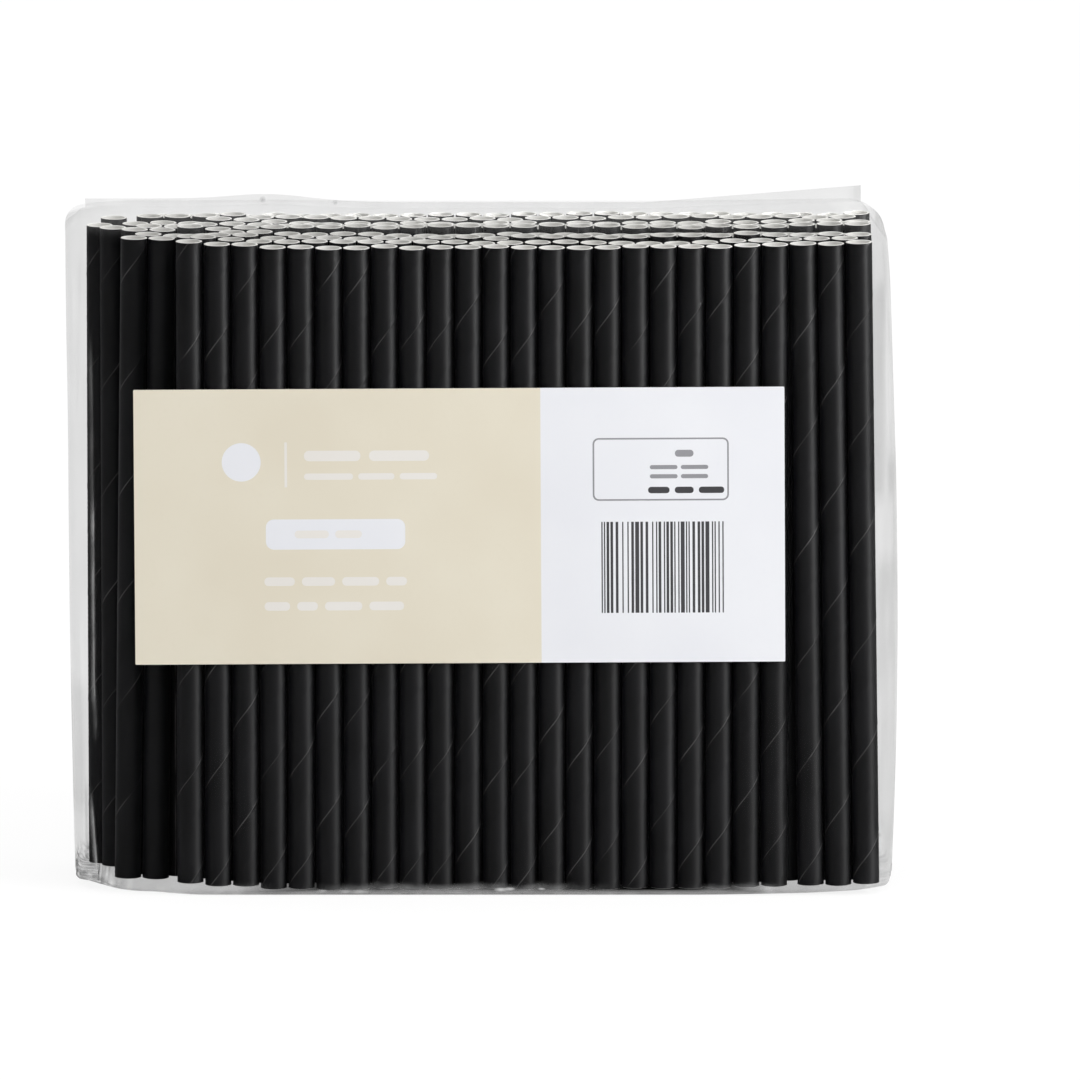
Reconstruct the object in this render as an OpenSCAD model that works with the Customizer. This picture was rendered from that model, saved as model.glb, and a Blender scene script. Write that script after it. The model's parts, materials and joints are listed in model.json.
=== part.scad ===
// Clear film pack of paper cocktail straws, standing upright with a plain label on its front.
// X runs along the pack, the front faces -Y, and Z is up. The origin is the middle of the base.

/* [Straws] */
// Outer diameter of a straw
straw_od = 5.7; // [4.5:0.1:8]
// Thickness of the rolled paper wall
straw_wall = 0.45; // [0.3:0.05:0.8]
// Length of a straw
straw_len = 140; // [100:1:250]
// Play between neighbouring straws
straw_play = 0.3; // [0.1:0.05:0.6]
// Straws in the front row
front_count = 25; // [14:1:30]
// Most that a foot stands above its row's height
foot_scatter = 0.5; // [0:0.05:0.8]
// Further unevenness of the inner rows near the left end
left_jumble = 1.2; // [0:0.1:1.3]
// Rise of the two front rows towards the left end
left_ramp = 1.2; // [0:0.1:1.3]
// Rise of the two front rows towards the right end
right_ramp = 1.1; // [0:0.1:1.2]
// How far the tops of the outermost straws lean out at the left end
left_lean = 1.8; // [0:0.1:2.5]
// How far the feet of the left end's last columns spread
left_spread = 1.7; // [0:0.1:2.5]
// How far the feet of the right end's last columns spread
right_spread = 1.9; // [0:0.1:2.5]

/* [Film] */
// Thickness of the clear film
film_t = 0.12; // [0.08:0.01:0.2]
// Play between the straws and the film at the front and the back
film_play = 0.35; // [0.25:0.05:1]
// Slack of the film past the straws at the left end
left_slack = 6.4; // [5:0.1:12]
// Slack of the film past the straws at the right end
right_slack = 6.4; // [6:0.1:12]
// Corner radius of the film at the left end
left_corner = 14; // [8:0.5:16]
// Corner radius of the film at the right end
right_corner = 7; // [6:0.5:7.5]
// Rounding of the film's bottom edge
foot_round = 1.2; // [0.8:0.1:1.6]
// Height of the lowest foot above the ground
foot_rise = 1; // [0.9:0.1:4]
// Height that the two ends of the base lift off the ground
end_lift = 1.2; // [0:0.1:1.3]
// Further lift of the base's front edge at the left corner
left_front_lift = 2.4; // [0:0.1:2.6]
// Further lift of the base's front edge at the right corner
right_front_lift = 0.8; // [0:0.1:1]
// Room above the lowest straw's top at the film's shoulder
top_room = 2.1; // [2.1:0.1:10]
// Rise of the film's roof from its shoulder to the seal
roof_rise = 3.2; // [2:0.1:12]
// How far the film's right shoulder droops
right_droop = 3.5; // [0:0.1:4]
// Height of the flat seal along the roof
seal_h = 1.4; // [1:0.1:10]
// Extra height of the seal at its right end
ear_rise = 3.7; // [0:0.1:6]
// How far the seal stops short of the film's left end
seal_left = 4.6; // [3:0.1:14]
// How far the seal stops short of the film's right end
seal_right = 8.5; // [5:0.1:14]

/* [Label] */
// Width of the label
label_w = 140; // [60:1:146]
// Height of the label
label_h = 60; // [30:1:80]
// Thickness of the label
label_t = 0.1; // [0.06:0.01:0.3]
// Height of the label's lower edge
label_z = 51; // [10:1:55]
// Distance of the label's left edge from the film's left end
label_left = 15.4; // [14.5:0.1:30]
// Slant of the label in degrees
label_slant = 0.3; // [0:0.1:1]

/* [Hidden] */
$fn = 48;
overcut = 1;

// The straws stand in rows like cells of a honeycomb, counted from the front.
// A row starts this many half pitches left of the front row's second straw,
// and ends this many half pitches past the front row's last one.
row_start = [2, 1, 6, 5, 6, 7, 8, 7, 4];
row_end = [0, -1, 0, -1, 0, -1, 0, -1, 0];
rows = len(row_start);
pitch = straw_od + straw_play;
row_pitch = pitch * sqrt(3) / 2;
half_depth = (rows - 1) * row_pitch / 2;
front_steps = 2 * front_count - 4;
bundle_w = (max(row_start) + front_steps + max(row_end)) * pitch / 2 + straw_od;
second_x = -bundle_w / 2 + straw_od / 2 + max(row_start) * pitch / 2;

function row_count(r) = (row_start[r] + front_steps + row_end[r]) / 2 + 1;
function step_of(r, i) = 2 * i - row_start[r];
function straw_x(r, i) = second_x + step_of(r, i) * pitch / 2;
function straw_y(r) = r * row_pitch - half_depth;

// The last columns at both ends lean as a block, away from the rest of the bundle.
end_block = 4;
far_left_start = 7;
function foot_shift(r, i) =
    step_of(r, i) <= -end_block ? -left_spread
    : step_of(r, i) >= front_steps - end_block ? right_spread
    : 0;
function top_shift(r, i) =
    i == 0 && row_start[r] >= far_left_start ? -left_lean : 0;

// Heights of the feet. The tops are uneven by as much, because all straws are one length.
// Each row stands this much above the lowest foot at its left end and at its right end.
lift_left = [0, 0.3, 0.1, 0.2, 0.6, 0.2, 0, 0.4, 0.3];
lift_right = [0, 0.2, 1.35, 0.1, 2.4, 0.7, 0.6, 0.9, 0.8];
wave_share = 0.2;
wave_turn = 9;
row_turn = 70;
ramp_rows = 2;
left_ramp_steps = 7;
right_ramp_steps = 12;
inner_ramp = 0.2;
jumble_steps = 16;
jumble_inset = 6;
jumble_run = 8;
scatter_seed = 40;
jumble_seed = 60;
function random_shares(seed) = [for (r = [0 : rows - 1]) rands(0, 1, row_count(r), seed + r)];
scatter = random_shares(scatter_seed);
jumble = random_shares(jumble_seed);
function row_lift(r, i) = lift_left[r] + (lift_right[r] - lift_left[r]) * i / (row_count(r) - 1);
function wave(r, i) = 1 - wave_share + wave_share * sin(wave_turn * step_of(r, i) + row_turn * r);
function from_left(r, i) = step_of(r, i) + row_start[0];
function to_right(r, i) = front_steps - step_of(r, i);
function fading(steps, run) = clamped(1 - steps / run);
function ramp_at(r, i) =
    (r < ramp_rows ? right_ramp : inner_ramp) * fading(to_right(r, i), right_ramp_steps)
    + (r < ramp_rows ? left_ramp : 0) * fading(from_left(r, i), left_ramp_steps);
function jumble_at(r, i) =
    r >= ramp_rows && r < rows - 1
    ? left_jumble * jumble[r][i] * fading(from_left(r, i), jumble_steps)
        * clamped((from_left(r, i) + jumble_inset) / jumble_run)
    : 0;
function foot_z(r, i) =
    foot_rise + row_lift(r, i) * wave(r, i) + foot_scatter * scatter[r][i]
    + ramp_at(r, i) + jumble_at(r, i);

// Film round the bundle, as rings of points that run from the base to the top of the seal.
// Each ring is mirrored front to back, and its points share their x from ring to ring.
wall_y = half_depth + straw_od / 2 + film_play + film_t;
left_x = -bundle_w / 2 - left_slack;
right_x = bundle_w / 2 + right_slack;
shoulder_z = foot_rise + straw_len + top_room;
ridge_z = shoulder_z + roof_rise;
seal_half = film_t;
middle_x = (left_x + right_x) / 2;
arc_steps = 5;
wall_steps = 20;
foot_angles = [90, 60, 30, 0];
wall_shares = [0.09, 0.3, 0.55, 0.8, 0.95, 1];
roof_angles = [18, 36, 54, 70, 80];
base_inset = 0.7 * min(left_corner, right_corner);

function arc_angle(k) = 90 * k / arc_steps;
function squared(v) = v * v;
function clamped(v) = max(0, min(1, v));
function eased(v) = squared(clamped(v)) * (3 - 2 * clamped(v));

// Front half of a ring at inset e, as pairs of x and half depth.
function stations(e) = concat(
    [for (k = [0 : arc_steps]) [
        left_x + left_corner - (left_corner - e) * cos(arc_angle(k)),
        wall_y - left_corner + (left_corner - e) * sin(arc_angle(k))
    ]],
    [for (k = [1 : wall_steps - 1])
        let (from = left_x + left_corner, to = right_x - right_corner)
        [from + (to - from) * k / wall_steps, wall_y - e]
    ],
    [for (k = [arc_steps : -1 : 0]) [
        right_x - right_corner + (right_corner - e) * cos(arc_angle(k)),
        wall_y - right_corner + (right_corner - e) * sin(arc_angle(k))
    ]]
);

// The base lifts towards its two ends, and its front edge lifts more towards the two corners.
// Both lifts fade up the wall.
end_run = 22;
left_front_run = 30;
right_front_run = 45;
lift_fade = 12;
function end_lift_at(x) =
    end_lift * squared(clamped(max(x - (right_x - end_run), left_x + end_run - x) / end_run));
function corner_share(depth, corner) = clamped((depth - wall_y + corner) / corner);
function front_lift_at(x, depth) =
    x < middle_x
    ? left_front_lift * eased((left_x + left_front_run - x) / left_front_run)
        * corner_share(depth, left_corner)
    : right_front_lift * eased((x - right_x + right_front_run) / right_front_run)
        * corner_share(depth, right_corner);

// How far each end stands in from its farthest point at the foot, at mid height and at the shoulder.
left_tuck = [1.7, 0.6, 0];
right_tuck = [1.2, 0.1, 2.6];
function tuck(ends, t) =
    ends[0] * (1 - t) * (1 - 2 * t) + ends[1] * 4 * t * (1 - t) + ends[2] * t * (2 * t - 1);
function drawn_x(x, z) =
    let (out = (x - middle_x) / (right_x - middle_x))
    x - out * tuck(out < 0 ? left_tuck : right_tuck, z / shoulder_z);

// Droop of the right shoulder, which starts on the wall a little below it.
droop_run = 6.5;
droop_height = 12;
function droop_at(x) = right_droop * squared(clamped((x - right_x + droop_run) / droop_run));
function droop_share(z) = clamped((z - shoulder_z + droop_height) / droop_height);

// A level ring of the base or the wall. The base's inner ring leaves the front lift out.
function ring(points, z, front = 1) =
    let (fade = max(0, 1 - z / lift_fade))
    [for (side = [-1, 1])
        for (k = [0 : len(points) - 1])
            let (
                p = points[side < 0 ? k : len(points) - 1 - k],
                lift = end_lift_at(p[0]) + (side < 0 ? front * front_lift_at(p[0], p[1]) : 0)
            )
            [drawn_x(p[0], z), side * p[1], z + lift * fade - droop_at(p[0]) * droop_share(z)]
    ];

// Line of the seal: a shelf at the left that ends in a low crest, and an ear at the right end.
crest_inset = 46;
crest_run = 12;
crest_rise = 1.3;
shelf_rise = 0.8;
shelf_run = 4;
ear_run = 46;
crest_x = left_x + crest_inset;
ear_x = right_x - seal_right - ear_run;
function crest(x) = crest_rise * exp(-squared((x - crest_x) / crest_run));
function shelf(x) = shelf_rise / (1 + exp((x - crest_x) / shelf_run));
function ear(x) = ear_rise * max(0, x - ear_x) / ear_run;
function seal_line(x) = crest(x) + shelf(x) + ear(x);
// Part of that line's rise that the roof's ridge follows
ridge_share = 0.45;

// A ring of the roof at angle a, from 0 at the shoulder to 90 at the seal.
function roof_ring(a, offset, half) =
    let (
        base = stations(offset),
        reach = 1 - cos(a),
        inner = half + (wall_y - half) * cos(a),
        low = drawn_x(left_x, shoulder_z),
        high = drawn_x(right_x, shoulder_z),
        from = low + (left_x + seal_left - low) * reach,
        to = high + (right_x - seal_right - high) * reach,
        rise = roof_rise * sin(a)
    )
    [for (side = [-1, 1])
        for (k = [0 : len(base) - 1])
            let (
                p = base[side < 0 ? k : len(base) - 1 - k],
                share = (drawn_x(p[0], shoulder_z) - low) / (high - low),
                x = from + (to - from) * share,
                depth = max(p[1] * inner / wall_y, half),
                z = shoulder_z + rise - offset + ridge_share * seal_line(x) * reach
            )
            [x, side * depth, z - droop_at(p[0]) * cos(a)]
    ];

function seal_ring() =
    [for (p = roof_ring(90, 0, seal_half)) [p[0], p[1], ridge_z + seal_h + seal_line(p[0])]];

function foot_rings(offset) = [
    ring(stations(base_inset), offset, 0),
    for (a = foot_angles)
        let (
            e = foot_round - (foot_round - offset) * cos(a),
            z = foot_round - (foot_round - offset) * sin(a)
        )
        ring(stations(e), z)
];

function wall_rings(offset) = [
    for (s = wall_shares)
        ring(stations(offset), foot_round + (shoulder_z - offset - foot_round) * s)
];

module lofted(rings) {
    n = len(rings[0]);
    last = len(rings) - 1;
    half = n / 2;
    points = [for (one = rings) each one];
    sides = [
        for (k = [0 : last - 1])
            for (j = [0 : n - 1])
                let (a = k * n + j, b = k * n + (j + 1) % n)
                each [[a, a + n, b], [b, a + n, b + n]]
    ];
    ends = [
        for (j = [0 : half - 2])
            let (a = j, b = j + 1, c = n - 2 - j, d = n - 1 - j, up = last * n)
            each [[a, b, d], [b, c, d], [up + a, up + d, up + b], [up + b, up + d, up + c]]
    ];
    polyhedron(points = points, faces = concat(sides, ends));
}

module film_bag() {
    color([0.88, 0.9, 0.92, 0.35])
    difference() {
        lofted(concat(
            foot_rings(0),
            wall_rings(0),
            [for (a = roof_angles) roof_ring(a, 0, seal_half)],
            [roof_ring(90, 0, seal_half), seal_ring()]
        ));
        lofted(concat(
            foot_rings(film_t),
            wall_rings(film_t),
            [for (a = roof_angles) roof_ring(a, film_t, seal_half / 2)]
        ));
    }
}

module label() {
    color([0.86, 0.82, 0.74])
    translate([left_x + label_left + label_w / 2, -wall_y - label_t, label_z + label_h / 2])
    rotate([0, -label_slant, 0])
    translate([-label_w / 2, 0, -label_h / 2])
    cube([label_w, label_t, label_h]);
}

module straw() {
    color([0.09, 0.09, 0.1])
    difference() {
        cylinder(h = straw_len, d = straw_od);
        translate([0, 0, -overcut])
        cylinder(h = straw_len + 2 * overcut, d = straw_od - 2 * straw_wall);
    }
}

// One straw in its place: its foot and its top may stand a little to the side.
module placed_straw(r, i) {
    lean = asin((top_shift(r, i) - foot_shift(r, i)) / straw_len);
    translate([straw_x(r, i) + foot_shift(r, i), straw_y(r), foot_z(r, i)])
    rotate([0, lean, 0])
    straw();
}

module straw_row(r) {
    for (i = [0 : row_count(r) - 1]) placed_straw(r, i);
}

function two_digits(n) = n < 10 ? str("0", n) : str(n);
front_names = [for (i = [1 : row_count(0)]) str("straw_front_", two_digits(i))];
back_names = [for (i = [1 : row_count(rows - 1)]) str("straw_back_", two_digits(i))];
row_names = [for (r = [2 : rows - 1]) str("straws_row_", r)];

film_bag();
label();
for (i = [0 : len(front_names) - 1])
    placed_straw(0, i);
for (r = [1 : rows - 2])
    straw_row(r);
for (i = [0 : len(back_names) - 1])
    placed_straw(rows - 1, i);
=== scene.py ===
# A clear film pack of black paper straws with a two-tone label, standing on a pale floor.
import json
import math
import random

import bpy
import numpy as np
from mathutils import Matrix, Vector, noise
from mathutils.geometry import delaunay_2d_cdt

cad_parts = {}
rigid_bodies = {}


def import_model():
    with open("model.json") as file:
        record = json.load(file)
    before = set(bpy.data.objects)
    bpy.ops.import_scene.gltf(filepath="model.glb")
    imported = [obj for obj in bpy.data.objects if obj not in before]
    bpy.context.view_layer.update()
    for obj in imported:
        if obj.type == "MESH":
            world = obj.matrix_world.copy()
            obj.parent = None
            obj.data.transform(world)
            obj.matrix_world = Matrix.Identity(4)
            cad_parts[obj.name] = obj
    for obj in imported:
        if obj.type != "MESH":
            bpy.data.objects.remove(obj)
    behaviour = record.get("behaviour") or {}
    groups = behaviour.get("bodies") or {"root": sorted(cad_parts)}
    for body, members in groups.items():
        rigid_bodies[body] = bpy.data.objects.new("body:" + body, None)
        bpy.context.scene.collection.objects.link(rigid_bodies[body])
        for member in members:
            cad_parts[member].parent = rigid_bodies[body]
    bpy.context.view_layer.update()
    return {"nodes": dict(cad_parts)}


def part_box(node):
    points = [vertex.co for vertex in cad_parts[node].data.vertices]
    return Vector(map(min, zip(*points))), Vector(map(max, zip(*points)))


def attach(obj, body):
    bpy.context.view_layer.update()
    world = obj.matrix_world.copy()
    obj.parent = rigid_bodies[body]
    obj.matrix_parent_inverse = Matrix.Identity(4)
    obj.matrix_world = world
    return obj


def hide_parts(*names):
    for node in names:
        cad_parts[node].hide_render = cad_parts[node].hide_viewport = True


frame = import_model()
MM = 0.001

# The camera: how the pack lies in the photograph's square frame, 1080 pixels a side.
FRAME_PX = 1080
PX_PER_MM = 4.646
CAMERA_ELEVATION = math.radians(9.8)
CAMERA_DISTANCE = 5.0
SENSOR_MM = 36
AIM_MM = (12.46, -24.1, 77.9)

# Straws, in millimetres and degrees. The wound strip's edge stands out by SEAM_LAP and fades out over SEAM_RUN,
# and a faint ridge lies RIDGE_AT round from it.
STRAW_RADIUS = 2.85
STRAW_WALL = 0.45
SEAM_TURNS = 6
SEAM_LAP, SEAM_RUN = 0.035, 16
RIDGE_AT, RIDGE_RISE, RIDGE_RUN = 148, 0.016, 5
# The rims: how round they are outside and inside, and how deep and how far in the groove between two plies is.
RIM_ROUND, INNER_ROUND = 0.06, 0.08
PLY_GROOVE, PLY_AT = 0.035, 0.4
# How oval the straws are, how much more so at the two ends, and how far they bow.
OVAL = 0.022
CRUSH, CRUSH_RUN = (0.5, 2.2), 5
BOW, LEAST_BOW = 0.07, 0.2
# Their mesh: degrees from column to column, the columns beside the strip's edge and on both sides of the ridge,
# the distance of the rings of a fine wall, and the number of rings of a plain one.
COLUMN_STEP = 15
EDGE_COLUMNS = [0, 1.4, 9, 344, 352]
RIDGE_BESIDE, RIDGE_FREE = 6, 8
RING_STEP, PLAIN_RINGS = 1.05, 4

# Film, in millimetres: its thickness, its index as a mirror and the most that it mirrors.
FILM_T = 0.1
FILM_INDEX, MIRROR_MOST = 1.08, 0.06
# The outline: the radii of the corners, and how round the ends are in plan.
LEFT_CORNER, RIGHT_CORNER = 14, 7
END_BULGE = 1.6
# The foot: how far in the flat base lies, the rounding, and how far the ends and the front corners are lifted,
# over which run. The lifts fade out up to LIFT_FADE.
BASE_INSET = 4.9
FOOT_ROUND = 1.2
END_LIFT, END_RUN, LIFT_FADE = 1.2, 22, 12
LEFT_FRONT_LIFT, LEFT_FRONT_RUN = 2.4, 30
RIGHT_FRONT_LIFT, RIGHT_FRONT_RUN = 0.8, 45
# How far the ends are drawn in at the foot, at mid height and at the shoulder.
LEFT_TUCK, RIGHT_TUCK = (1.7, 0.6, 0), (1.2, 0.1, 2.6)
# The shoulder, the roof's rise above it, the droop at the right and the tuck in the middle of each end.
SHOULDER_Z, ROOF_RISE = 143.1, 3.2
DROOP, DROOP_RUN, DROOP_HEIGHT = 3.5, 6.5, 12
GUSSET = 1.2
# The seal: its size, its insets, its crest with a shelf to the left of it, and the ear at the right. The roof's
# ridge takes RIDGE_SHARE of what rises in the seal.
SEAL_H, SEAL_HALF = 1.4, 0.12
SEAL_INSET_LEFT, SEAL_INSET_RIGHT = 4.6, 8.5
CREST_X, CREST_RUN, CREST_RISE = -44.25, 12, 1.3
SHELF_RISE, SHELF_RUN = 0.8, 4
EAR_RISE, EAR_RUN = 3.7, 46
RIDGE_SHARE = 0.45
# The mesh: steps along the corners, the sides and the ends, the rings' angles round the foot and over the roof,
# their heights near the foot and up the wall, and their number in the seal.
ARC_STEP, WALL_STEP, END_STEP = 0.45, 2.2, 0.8
FOOT_ANGLES = (90, 66, 42, 20, 0)
ROOF_ANGLES = (8, 16, 24, 32, 40, 48, 56, 64, 72, 79, 85)
NEAR_FOOT = [1.6, 2, 2.4, 2.8, 3.3, 3.8, 4.4, 5, 5.7, 6.5, 7.6, 9]
WALL_HEIGHTS = (11, SHOULDER_Z - 9, 58)
NEAR_TOP = (SHOULDER_Z - 7.5, SHOULDER_Z, 7)
SEAL_RINGS = 5

# Label, in millimetres from its lower left corner.
LABEL_W, LABEL_H = 140, 60
LABEL_CORNER = 0.25
LABEL_SLANT = math.radians(0.3)
# The front stands a hair behind the front of its box, and waves by this much, over these runs across and up.
LABEL_BACK_OFF, LABEL_WAVE, LABEL_WAVE_RUNS = 0.01, 0.02, (9.3, 31)


def srgb(r, g, b):
    """A colour given as 8-bit screen values, as the linear values that the shaders take."""
    def linear(v):
        v /= 255
        return v / 12.92 if v <= 0.04045 else ((v + 0.055) / 1.055) ** 2.4
    return linear(r), linear(g), linear(b), 1


# Materials

# The tones of the papers and of the print, as screen values. A pair is two close tones that run into each other.
BLACK_TONES = (14, 14, 15), (20, 20, 22)
# The fibre's tone, and the pale tone of a painted highlight along the strip's edge.
FIBRE_TONE, SEAM_HIGHLIGHT_TONE = (34, 34, 36), (100, 99, 99)
STRAW_WHITES = (234, 233, 230), (224, 223, 219)
# The printed label's inks, in the order of their numbers.
CREAM, WHITE, PALE, GREY, DARK = range(5)
INKS = [
    ("cream_ink", (231, 224, 206), (227, 219, 200)),
    ("label_white", (238, 239, 243), (234, 235, 240)),
    ("pale_ink", (237, 234, 229), (234, 230, 224)),
    ("grey_ink", (150, 150, 154), (140, 140, 144)),
    ("dark_ink", (70, 69, 72), (60, 60, 62)),
]
INK_FIBRE, INK_ROUGHNESS = 700, 0.5
# The pale line painted along the strip's edge on a straw, a painted highlight where light catches that raised
# edge:
# where it starts to fade and where it has gone, in turns, and how strong it is.
EDGE_FADE, EDGE_GONE, EDGE_HIGHLIGHT_STRENGTH = 0.004, 0.011, 0.7
# The film's mirror, and the white that creases, crumples, the fold and glints give it, in part a painted
# highlight.
MIRROR_ROUGHNESS, HAZE_AND_HIGHLIGHT_WHITE = 0.12, 0.9


def new_material(name):
    material = bpy.data.materials.new(name)
    material.use_nodes = True
    material.node_tree.nodes.clear()
    return material


def add(tree, kind, settings=None, **inputs):
    """A new node with its settings, and its sockets set to values or linked to other sockets."""
    node = tree.nodes.new(kind)
    for name, value in (settings or {}).items():
        setattr(node, name, value)
    for name, value in inputs.items():
        key = int(name[1:]) if name[0] == "_" else name.replace("_", " ")
        if isinstance(value, bpy.types.NodeSocket):
            tree.links.new(value, node.inputs[key])
        else:
            node.inputs[key].default_value = value
    return node


def math_node(tree, operation, a, b=0.0, clamp=False):
    return add(tree, "ShaderNodeMath", {"operation": operation, "use_clamp": clamp}, _0=a, _1=b).outputs[0]


def mix_colour(tree, share, a, b):
    node = add(tree, "ShaderNodeMix", {"data_type": "RGBA"})
    for index, value in ((0, share), (6, a), (7, b)):
        if isinstance(value, bpy.types.NodeSocket):
            tree.links.new(value, node.inputs[index])
        else:
            node.inputs[index].default_value = value
    return node.outputs[2]


def ramp(tree, value, low, high, to_low=0.0, to_high=1.0):
    """Maps value from low..high to to_low..to_high, held at both ends."""
    node = add(tree, "ShaderNodeMapRange", None, Value=value)
    for name, number in (("From Min", low), ("From Max", high), ("To Min", to_low), ("To Max", to_high)):
        node.inputs[name].default_value = number
    return node.outputs[0]


def noise_at(tree, vector, scale, detail=3.0):
    return add(tree, "ShaderNodeTexNoise", None, Vector=vector, Scale=scale, Detail=detail).outputs["Fac"]


def finish_material(tree, shader):
    add(tree, "ShaderNodeOutputMaterial", None, Surface=shader)


def black_paper():
    """The straws' outside: black paper with a pale line along the edge of its wound strip, a painted highlight."""
    material = new_material("black_paper")
    tree = material.node_tree
    uv = add(tree, "ShaderNodeUVMap", {"uv_map": "UVMap"}).outputs[0]
    split = add(tree, "ShaderNodeSeparateXYZ", None, Vector=uv)
    around = split.outputs[0]
    stretched = add(tree, "ShaderNodeMapping", None, Vector=uv, Scale=(1, 0.35, 1)).outputs[0]
    fibre = noise_at(tree, stretched, 60, 4)
    cloud = noise_at(tree, uv, 0.9, 2)
    tone = mix_colour(tree, ramp(tree, cloud, 0.35, 0.65), *(srgb(*t) for t in BLACK_TONES))
    tone = mix_colour(tree, ramp(tree, fibre, 0.5, 0.8, 0, 0.3), tone, srgb(*FIBRE_TONE))
    # The painted highlight along the strip's edge: the distance from that edge, in turns, and where along the
    # straw it shows.
    edge = math_node(tree, "MINIMUM", around, math_node(tree, "SUBTRACT", 1.0, around))
    broken = ramp(tree, noise_at(tree, uv, 2.3, 2), 0.38, 0.6)
    line = math_node(tree, "MULTIPLY", ramp(tree, edge, EDGE_FADE, EDGE_GONE, 1, 0), broken)
    tone = mix_colour(tree, math_node(tree, "MULTIPLY", line, EDGE_HIGHLIGHT_STRENGTH), tone, srgb(*SEAM_HIGHLIGHT_TONE))
    rough = ramp(tree, fibre, 0.3, 0.7, 0.42, 0.5)
    bump = add(tree, "ShaderNodeBump", None, Strength=0.12, Distance=0.00002, Height=fibre).outputs[0]
    shader = add(tree, "ShaderNodeBsdfPrincipled", None, Base_Color=tone, Roughness=rough, Normal=bump)
    shader.inputs["Specular IOR Level"].default_value = 0.16
    finish_material(tree, shader.outputs[0])
    return material


def paper(name, colour, shade, scale=900, roughness=0.75):
    """Plain paper or printed paper: two close tones in a fine fibre, with a soft bump."""
    material = new_material(name)
    tree = material.node_tree
    place = add(tree, "ShaderNodeTexCoord").outputs["Object"]
    fibre = noise_at(tree, place, scale, 4)
    cloud = noise_at(tree, place, 38, 2)
    tone = mix_colour(tree, ramp(tree, cloud, 0.35, 0.65), colour, shade)
    tone = mix_colour(tree, ramp(tree, fibre, 0.55, 0.75, 0, 0.35), tone, shade)
    rough = ramp(tree, fibre, 0.3, 0.7, roughness - 0.06, roughness + 0.06)
    bump = add(tree, "ShaderNodeBump", None, Strength=0.2, Distance=0.00003, Height=fibre).outputs[0]
    shader = add(tree, "ShaderNodeBsdfPrincipled", None, Base_Color=tone, Roughness=rough, Normal=bump)
    shader.inputs["Specular IOR Level"].default_value = 0.25
    finish_material(tree, shader.outputs[0])
    return material


def spots_at(tree, place, spots, flat=1):
    """The sum of some soft spots at a place. Each is x, y, z, radius and amount, and flat makes them that
    many times as wide as high."""
    place = add(tree, "ShaderNodeMapping", None, Vector=place, Scale=(1, 1, flat)).outputs[0]
    total = 0.0
    for x, y, z, radius, amount in spots:
        spot = (x * MM, y * MM, z * flat * MM)
        away = add(tree, "ShaderNodeVectorMath", {"operation": "DISTANCE"}, _0=place, _1=spot)
        shade = ramp(tree, away.outputs["Value"], 0, radius * MM, amount, 0)
        total = math_node(tree, "ADD", total, shade)
    return total


def film_outside():
    """The outer face of the clear film. It passes most light straight on and mirrors a little of the room.
    The mesh says how much light each point passes (clear), how much creases and crumples whiten it, partly
    as painted highlights (haze), and how much dust, the fold and painted shade darken it (dim)."""
    material = new_material("film_outside")
    tree = material.node_tree
    place = add(tree, "ShaderNodeTexCoord").outputs["Object"]
    stretched = add(tree, "ShaderNodeMapping", None, Vector=place, Scale=(1, 1, 0.4)).outputs[0]
    crinkle = noise_at(tree, stretched, 260, 3)
    bump = add(tree, "ShaderNodeBump", None, Strength=0.35, Distance=0.00012, Height=crinkle).outputs[0]
    passes = add(tree, "ShaderNodeAttribute", {"attribute_name": "clear"}).outputs["Fac"]
    mottle = ramp(tree, noise_at(tree, place, 70, 3), 0.3, 0.7, -0.012, 0.012)
    passes = math_node(tree, "ADD", passes, mottle)
    dim = add(tree, "ShaderNodeAttribute", {"attribute_name": "dim"}).outputs["Fac"]
    dim = math_node(tree, "ADD", dim, spots_at(tree, place, FLECKS))
    passes = math_node(tree, "MULTIPLY", passes, math_node(tree, "SUBTRACT", 1.0, dim), clamp=True)
    see_through = add(tree, "ShaderNodeBsdfTransparent", None, Color=passes).outputs[0]
    mirror = add(tree, "ShaderNodeBsdfAnisotropic", None, Color=(1, 1, 1, 1), Roughness=MIRROR_ROUGHNESS,
                 Normal=bump).outputs[0]
    # Both faces mirror as a thin film does, so the far side of a face takes the inverse index.
    far_side = add(tree, "ShaderNodeNewGeometry").outputs["Backfacing"]
    index = ramp(tree, far_side, 0, 1, FILM_INDEX, 1 / FILM_INDEX)
    fresnel = add(tree, "ShaderNodeFresnel", None, IOR=index, Normal=bump).outputs[0]
    share = math_node(tree, "MINIMUM", fresnel, MIRROR_MOST)
    shader = add(tree, "ShaderNodeMixShader", None, _0=share, _1=see_through, _2=mirror).outputs[0]
    # Whitening, in part painted highlights, mixes in a white diffuse.
    haze = add(tree, "ShaderNodeAttribute", {"attribute_name": "haze"}).outputs["Fac"]
    haze = math_node(tree, "ADD", haze, spots_at(tree, place, GLINTS, GLINT_FLAT), clamp=True)
    white = add(tree, "ShaderNodeBsdfDiffuse", None, Color=(*[HAZE_AND_HIGHLIGHT_WHITE] * 3, 1)).outputs[0]
    finish_material(tree, add(tree, "ShaderNodeMixShader", None, _0=haze, _1=shader, _2=white).outputs[0])
    return material


def film_inside():
    """The inner face of the film, a tenth of a millimetre behind the outer one. It only passes light on."""
    material = new_material("film_inside")
    tree = material.node_tree
    place = add(tree, "ShaderNodeTexCoord").outputs["Object"]
    passes = ramp(tree, noise_at(tree, place, 90, 2), 0.3, 0.7, 0.98, 0.995)
    finish_material(tree, add(tree, "ShaderNodeBsdfTransparent", None, Color=passes).outputs[0])
    return material


# Meshes

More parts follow.
